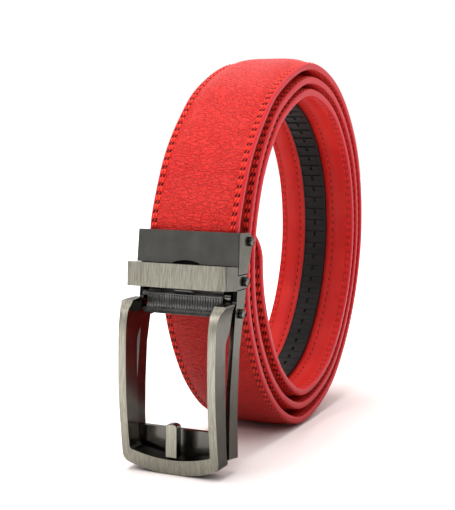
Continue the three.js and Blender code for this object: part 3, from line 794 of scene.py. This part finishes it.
def leather():
    paint = Paint("red_leather", Specular_IOR_Level=0.27)
    spot = paint.node("Attribute", {"attribute_name": "strap_place"}, {}, 1)
    along, across, face = paint.parts(spot)
    wide = across.size()
    outer = face.more(0.0005)
    inner = face.less(-0.0005)
    edge = (1 - outer) * (1 - inner)

    def cells(scale, along_share, across_share, wander):
        """Distance to the edge of grain cells that are drawn out across the strap."""
        drift = paint.node("TexNoise", {}, {"Vector": spot, "Scale": scale * 0.7, "Detail": 2.0}, 1)
        bent = paint.node("VectorMath", {"operation": "ADD"}, {
            0: paint.scaled(spot, (along_share, across_share, 0.0)),
            1: paint.scaled(drift, (wander / scale, wander / scale, 0.0)),
        })
        return paint.node("TexVoronoi", {"feature": "DISTANCE_TO_EDGE"}, {"Vector": bent, "Scale": scale})

    pebble = cells(1900.0, 1.0, 0.7, 1.3).ramp(0.0, 0.22)
    crease = 1 - cells(900.0, 1.0, 0.36, 1.6).ramp(0.0, 0.12)
    fine = paint.noise(spot, 4200.0, 2.0, 0.6)
    broad = paint.noise(paint.scaled(spot, (1.0, 0.4, 0.0)), 210.0, 3.0, 0.6)
    worn = paint.noise(paint.scaled(spot, (1.0, 0.5, 0.0)), 60.0, 2.0, 0.5)
    # Slanted needle holes where one thread ends and the next begins, painted dark as the
    # shade inside them: the row, the hole's half width, and how dark it is outside and on the lining
    hole_table = [
        (edge_rows[0], 0.40, 1.0, 0.3),
        (edge_rows[1], 0.40, 1.0, 0.3),
        (lining_row, 0.34, 0.0, 0.85),
    ]
    side = across / wide.largest(0.0001)
    holes = None
    groove = None
    for row, half_wide, outer_dark, inner_dark in hole_table:
        beside = across - side * (row * MM)
        step = ((along - beside * (0.5 / hole_slant)) / (stitch_pitch * MM)).remainder(1.0)
        far = 0.5 - (step - 0.5).size()
        long_way = far * stitch_pitch / hole_half_length
        round_spot = (long_way * long_way + (beside / (half_wide * MM)) ** 2.0).ramp(0.75, 1.2, 1.0, 0.0)
        round_spot = round_spot * (outer * outer_dark + inner * inner_dark)
        holes = round_spot if holes is None else holes.largest(round_spot)
        if outer_dark:
            line = (wide - row * MM).size().ramp(0.00025, 0.0005, 1.0, 0.0)
            groove = line if groove is None else groove.largest(line)
    holes = holes * (1 - edge)
    groove = groove * (1 - edge)
    deep_red, full_red, worn_red = (0.72, 0.016, 0.012, 1), (0.80, 0.026, 0.020, 1), (0.85, 0.045, 0.030, 1)
    lining_red, border_red = (0.58, 0.010, 0.007, 1), (0.66, 0.014, 0.026, 1)
    pebble_red, crease_red = (0.45, 0.008, 0.006, 1), (0.40, 0.006, 0.005, 1)
    groove_red, hole_shade_black = (0.50, 0.006, 0.004, 1), (0.010, 0.0008, 0.0008, 1)
    red = paint.colour(broad.ramp(0.3, 0.7), deep_red, full_red)
    red = paint.colour(inner, red, lining_red)
    red = paint.colour(worn.ramp(0.35, 0.7) * 0.25, red, worn_red)
    border = wide.ramp(0.01665, 0.0170)
    red = paint.colour((border + edge).ramp(0.0, 1.0) * 0.85, red, border_red)
    red = paint.colour((1 - pebble) * outer * 0.22, red, pebble_red)
    red = paint.colour(crease * outer * (1 - border) * 0.42, red, crease_red)
    red = paint.colour(groove * outer * 0.4, red, groove_red)
    red = paint.colour(holes * 0.98, red, hole_shade_black)
    paint.feed("Base Color", red)
    paint.feed("Roughness", 0.38 + broad * 0.12 + inner * 0.08 - pebble * 0.05)
    grain = pebble * 0.6 + fine * 0.12 + broad * 0.5 - crease * 1.4
    smooth_face = fine * 0.12 * inner + fine * 0.1 * edge
    # The lining is softly filled between its rows
    filled = (wide - lining_row * MM) / ((edge_rows[0] - lining_row) * MM)
    puffed = (filled * (1 - filled)).largest(0.0) * 4 * inner
    paint.bump(grain * outer * (1 - border) + smooth_face + puffed * 3.0 - holes * 3.0, 1.0, 0.0002)
    return paint.material


def thread(name, dark, bright):
    paint = Paint(name, Specular_IOR_Level=0.4)
    strands = paint.node("TexNoise", {}, {"Vector": paint.place(), "Scale": 2600.0, "Detail": 1.0})
    paint.feed("Base Color", paint.colour(strands.ramp(0.35, 0.65), dark, bright))
    paint.feed("Roughness", strands * 0.3 + 0.35)
    paint.bump(strands, 0.4, 0.00008)
    return paint.material


def gunmetal():
    paint = Paint("dark_nickel", Metallic=1.0, Specular_Tint=(0.55, 0.54, 0.52, 1))
    cloud = paint.noise(paint.place(), 160.0, 3.0, 0.6)
    fine = paint.noise(paint.place(), 2600.0, 2.0, 0.5)
    dark, light = (0.165, 0.157, 0.142, 1), (0.20, 0.191, 0.174, 1)
    paint.feed("Base Color", paint.colour(cloud.ramp(0.3, 0.7), dark, light))
    paint.feed("Roughness", 0.13 + cloud * 0.08 + fine * 0.03)
    paint.bump(fine, 0.05, 0.00003)
    return paint.material


def brushed():
    paint = Paint("brushed_pewter", Metallic=1.0)
    spot = paint.place()
    hair = paint.noise(paint.scaled(spot, (1.0, 0.2, 0.03)), 5200.0, 2.0, 0.7)
    band = paint.noise(paint.scaled(spot, (1.0, 0.2, 0.03)), 1500.0, 2.0, 0.5)
    tone = hair * 0.75 + band * 0.25
    dark, light = (0.285, 0.263, 0.208, 1), (0.555, 0.528, 0.44, 1)
    paint.feed("Base Color", paint.colour(tone.ramp(0.32, 0.68), dark, light))
    paint.feed("Roughness", 0.34 + tone * 0.12)
    paint.bump(tone, 0.35, 0.00006)
    return paint.material


# Near-black metal used as painted shade on faces that lie in shadow: recessed walls, the plate's sides and
# underside, and the lever's land.
def painted_shade():
    paint = Paint("painted_shade_black", Metallic=1.0)
    cloud = paint.noise(paint.place(), 300.0, 2.0, 0.5)
    dark, light = (0.010, 0.010, 0.010, 1), (0.022, 0.021, 0.020, 1)
    paint.feed("Base Color", paint.colour(cloud, dark, light))
    paint.feed("Roughness", 0.4 + cloud * 0.1)
    return paint.material


def black_rubber():
    paint = Paint("black_track", Specular_IOR_Level=0.26)
    fine = paint.noise(paint.place(), 1500.0, 2.0, 0.6)
    broad = paint.noise(paint.place(), 120.0, 2.0, 0.5)
    dark, light = (0.006, 0.006, 0.006, 1), (0.011, 0.0108, 0.0105, 1)
    paint.feed("Base Color", paint.colour(broad.ramp(0.3, 0.7), dark, light))
    paint.feed("Roughness", 0.45 + fine * 0.15)
    paint.bump(fine, 0.2, 0.00005)
    return paint.material


def dark_metal():
    paint = Paint("black_nickel", Metallic=1.0)
    cloud = paint.noise(paint.place(), 300.0, 2.0, 0.5)
    dark, light = (0.13, 0.127, 0.12, 1), (0.19, 0.186, 0.177, 1)
    paint.feed("Base Color", paint.colour(cloud.ramp(0.3, 0.7), dark, light))
    paint.feed("Roughness", 0.24 + cloud * 0.1)
    return paint.material


materials = {
    "leather": leather(),
    "thread": thread("red_thread", (0.86, 0.018, 0.008, 1), (1.0, 0.07, 0.035, 1)),
    "lining_thread": thread("lining_thread", (0.66, 0.010, 0.006, 1), (0.85, 0.022, 0.014, 1)),
    "gunmetal": gunmetal(),
    "brushed": brushed(),
    "painted_shade": painted_shade(),
    "track": black_rubber(),
    "lever": dark_metal(),
}


def dress(piece, body, slot, *looks):
    """Material slots and the body that it moves with. The slot argument is not used."""
    piece.data.materials.clear()
    for look in looks:
        piece.data.materials.append(materials[look])
    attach(piece, body)
    return piece


def second_look(piece, chosen):
    """The faces that the test picks take the piece's second material."""
    for polygon in piece.data.polygons:
        polygon.material_index = 1 if chosen(polygon.normal, polygon.center / MM) else 0


def frame_face(normal, centre):
    """The brushed front and the sloping heads, not the sides or the underside."""
    facing = normal.y < -0.35 and abs(normal.x) < 0.8 and normal.z > -0.6
    return facing and centre.y < frame_rear - 0.5 * frame_reach


def keeper_face(normal, centre):
    facing = normal.y < -0.12 and abs(normal.z) < 0.5
    return facing and centre.y < keeper_front_y + keeper_corner


def behind_lever(normal, centre):
    """The housing's inner walls between the lever and the keeper, which take painted black shade."""
    return 59 < centre.z < 74 and (normal.x * centre.x < -5 or normal.y < -0.8)


# The lever's upper land, under the keeper, takes painted black shade.
def lever_top(normal, centre):
    return normal.z > 0.5 and centre.z > lever_pin[1] + 0.2 * lever_drop


def prong_face(normal, centre):
    return normal.y < -0.9


def paint_plate_shade(piece):
    """The plate's sides, its lower edge and the pad that shows through the arch take painted black shade."""
    front = max(piece.data.polygons, key=lambda polygon: polygon.area * (polygon.normal.y < -0.9))
    front_at, front_out = front.center / MM, front.normal.copy()

    def black(normal, centre):
        low = centre.z < plate_bottom + 3
        pad = normal.y < -0.9 and (centre - front_at).dot(front_out) < -0.8
        return abs(normal.x) > 0.8 or (low and (normal.z < -0.3 or pad))

    second_look(piece, black)


piece = dress(strap(), "belt", "leather", "leather")
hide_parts("strap")
for name, rows, outer, radius, look in (
    ("outer_stitches", edge_rows, True, thread_radius, "thread"),
    ("lining_edge_stitches", edge_rows, False, thread_radius * 0.8, "lining_thread"),
    ("lining_stitches", (lining_row,), False, thread_radius * 0.55, "lining_thread"),
):
    dress(stitches(name, rows, outer, radius), "belt", "leather", look)

piece = dress(front_frame(), "front_frame", "brushed", "gunmetal", "brushed")
second_look(piece, frame_face)
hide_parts("front_frame")

piece = dress(keeper_bar(), "belt", "brushed", "gunmetal", "brushed")
second_look(piece, keeper_face)
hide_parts("keeper_bar")

piece = rounded(copy_of("housing", "buckle_housing"), housing_round)
dress(piece, "belt", "gunmetal", "gunmetal", "painted_shade")
second_look(piece, behind_lever)
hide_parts("housing")

piece = rounded(copy_of("clamp_plate", "front_plate"), plate_round)
dress(piece, "belt", "gunmetal", "gunmetal", "painted_shade")
paint_plate_shade(piece)
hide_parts("clamp_plate")

piece = rounded(copy_of("clamp_flap", "rear_flap"), flap_round)
dress(piece, "belt", "gunmetal", "gunmetal")
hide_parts("clamp_flap")

for node, sides in (
    ("flap_pin", (-1, 1)), ("frame_pin", (-1, 1)), ("keeper_rivet_right", (1,)), ("keeper_rivet_left", (-1,)),
):
    piece = dress(headed_pin(node + "_turned", node, sides), "belt", "gunmetal", "gunmetal")
    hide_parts(node)

pin_half = side_inner - gap
piece = rod("lever_pin_turned", pin_radius, -pin_half, pin_half, *lever_pin, 40)
dress(piece, "belt", "gunmetal", "gunmetal")
bpy.ops.object.shade_smooth_by_angle(angle=math.radians(40))
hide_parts("lever_pin")

piece = dress(ribbed_lever(), "ratchet_lever", "lever", "lever", "painted_shade")
second_look(piece, lever_top)
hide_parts("ratchet_lever")

piece = rounded(copy_of("prong", "fixed_prong"), prong_round)
dress(piece, "front_frame", "brushed", "gunmetal", "brushed")
second_look(piece, prong_face)
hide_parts("prong")

piece = dress(track_strip(), "belt", "track", "track")
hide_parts("ratchet_track")

# Floor, light and camera


def plane(name, size, height, material):
    bpy.ops.object.select_all(action="DESELECT")
    bpy.ops.mesh.primitive_plane_add(size=size, location=(0, 0, height))
    piece = bpy.context.object
    piece.name = name
    piece.data.materials.append(material)
    return piece


# The camera sees a white paper floor, and a grey one under it gives the weaker
# light that comes back up from the table.
paper = Paint("white_paper", Roughness=1.0, Specular_IOR_Level=0.0)
paper.shader.inputs["Emission Strength"].default_value = 1.0
far_off = paper.node("VectorMath", {"operation": "LENGTH"}, {0: paper.place()}, 1).ramp(0.09, 0.3)
# Near the belt the paper is tinted warm, a painted red tint in its shadow; far off it glows, painted light
# that keeps it white.
paper.feed("Base Color", paper.colour(far_off, (0.96, 0.88, 0.86, 1), (0.95, 0.95, 0.95, 1)))
paper.feed("Emission Color", paper.colour(far_off, (0, 0, 0, 1), (0.4, 0.4, 0.4, 1)))
floor = plane("floor", 8, 0, paper.material)
floor.visible_diffuse = False
floor.visible_glossy = False
floor.visible_shadow = False
table = Paint("grey_table", Roughness=1.0, Specular_IOR_Level=0.0)
far_off = table.node("VectorMath", {"operation": "LENGTH"}, {0: table.place()}, 1).ramp(0.06, 0.24)
table.feed("Base Color", table.colour(far_off, (0.45, 0.44, 0.43, 1), (0.97, 0.97, 0.97, 1)))
under = plane("table", 8, -0.0004, table.material)
under.visible_camera = False

scene = bpy.context.scene
scene.view_settings.view_transform = "Standard"


def studio():
    """White behind the belt, and for its light a pale room that is dim towards the lens."""
    world = bpy.data.worlds.new("studio")
    scene.world = world
    world.use_nodes = True
    paint = Paint("studio_light")
    paint.tree = world.node_tree
    aim = paint.node("TexCoord")
    x, y, z = paint.parts(aim)
    near = 0.46 - (x * -1.0).ramp(0.55, 0.9) * 0.3 - x.ramp(-0.28, 0.1) * 0.36
    horizon = near + y.ramp(0.35, 0.85) * 0.85
    high = z.ramp(0.36, 0.62)
    room = horizon * (1 - high) + high * 1.02
    seen = paint.node("LightPath")
    strength = room * (1 - seen) + seen
    background = world.node_tree.nodes["Background"]
    background.inputs["Color"].default_value = (1, 1, 1, 1)
    world.node_tree.links.new(strength.socket, background.inputs["Strength"])
    bpy.data.materials.remove(paint.material)


studio()


def soft_box(name, place_at, aim, size, power):
    data = bpy.data.lights.new(name, "AREA")
    data.shape = "RECTANGLE"
    data.size, data.size_y = size
    data.energy = power
    lamp = bpy.data.objects.new(name, data)
    scene.collection.objects.link(lamp)
    lamp.location = place_at
    lamp.rotation_euler = (Vector(aim) - Vector(place_at)).to_track_quat("-Z", "Y").to_euler()
    return lamp


soft_box("front_box", (-0.1, -0.8, 0.75), (0, 0, 0.08), (0.5, 0.4), 2.2)
top_box = soft_box("top_box", (-0.1, 0.0, 1.0), (0, 0, 0.05), (0.8, 0.5), 9.0)
top_box.visible_glossy = False

right = Vector((0.91358, 0.40645, 0.012736))
up = Vector((-0.051181, 0.083857, 0.995163))
back_of_lens = Vector((0.403416, -0.909817, 0.097413))
lens_at = Vector((0.1719, -0.4310 + y_shift * MM, 0.1161))
camera_data = bpy.data.cameras.new("camera")
camera_data.sensor_fit = "VERTICAL"
camera_data.sensor_height = 36
camera_data.lens = 77.727
camera = bpy.data.objects.new("camera", camera_data)
scene.collection.objects.link(camera)
camera.matrix_world = Matrix((
    (right.x, up.x, back_of_lens.x, lens_at.x),
    (right.y, up.y, back_of_lens.y, lens_at.y),
    (right.z, up.z, back_of_lens.z, lens_at.z),
    (0, 0, 0, 1),
))
scene.camera = camera

bpy.context.view_layer.update()
